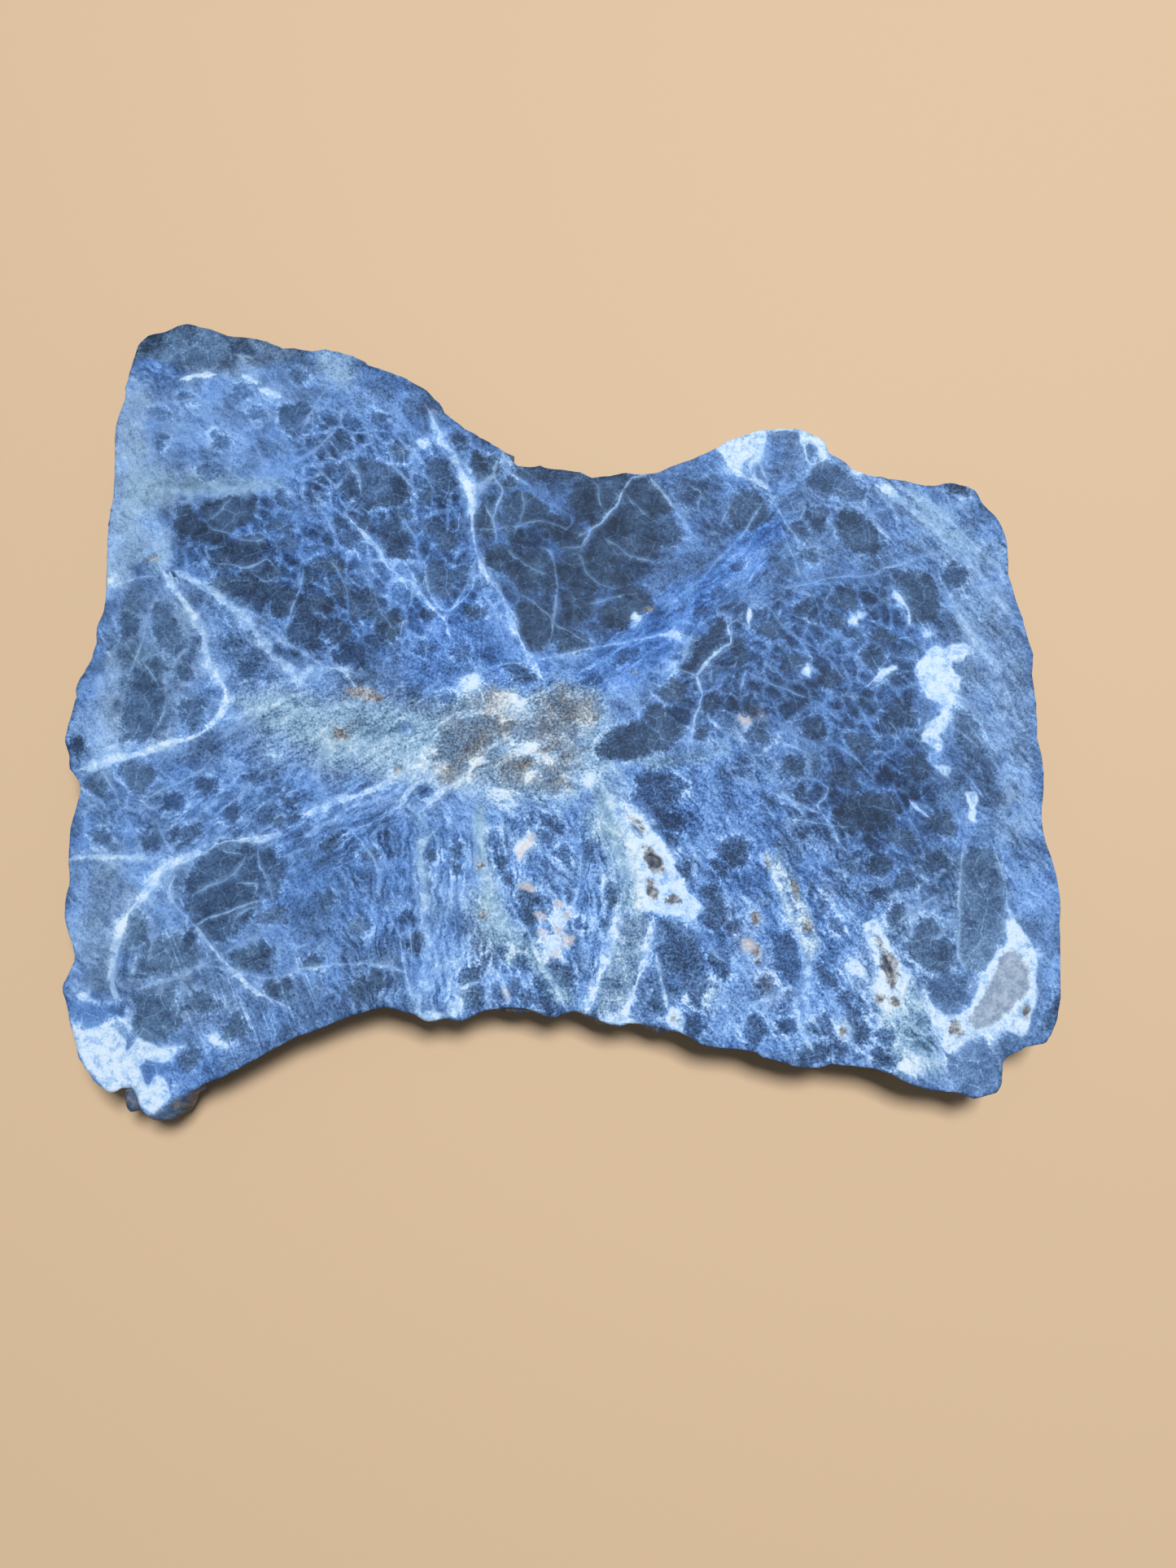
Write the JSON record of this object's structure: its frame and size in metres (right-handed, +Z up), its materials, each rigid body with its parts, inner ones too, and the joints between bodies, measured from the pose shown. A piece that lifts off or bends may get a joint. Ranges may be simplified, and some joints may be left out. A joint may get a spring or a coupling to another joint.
{
  "type": "sawn sodalite slab",
  "caption": "Thin flat slab of rough blue sodalite, sawn on both faces, with a broken natural rim, concave front and back edges, and white and grey veining.",
  "frame": {"origin": "middle of the slab's whole plan, on the lower saw cut it lies on", "axes": "+X along the length, towards the end with the grey-violet core; +Y across, towards the edge with the two tips; +Z up, out of the upper saw cut"},
  "size_m": [0.1386, 0.116, 0.008],
  "materials": {
    "sodalite": "unpolished saw-cut stone, satin"
  },
  "bodies": {
    "root": {"sodalite_slab": "sodalite"}
  },
  "joints": []
}
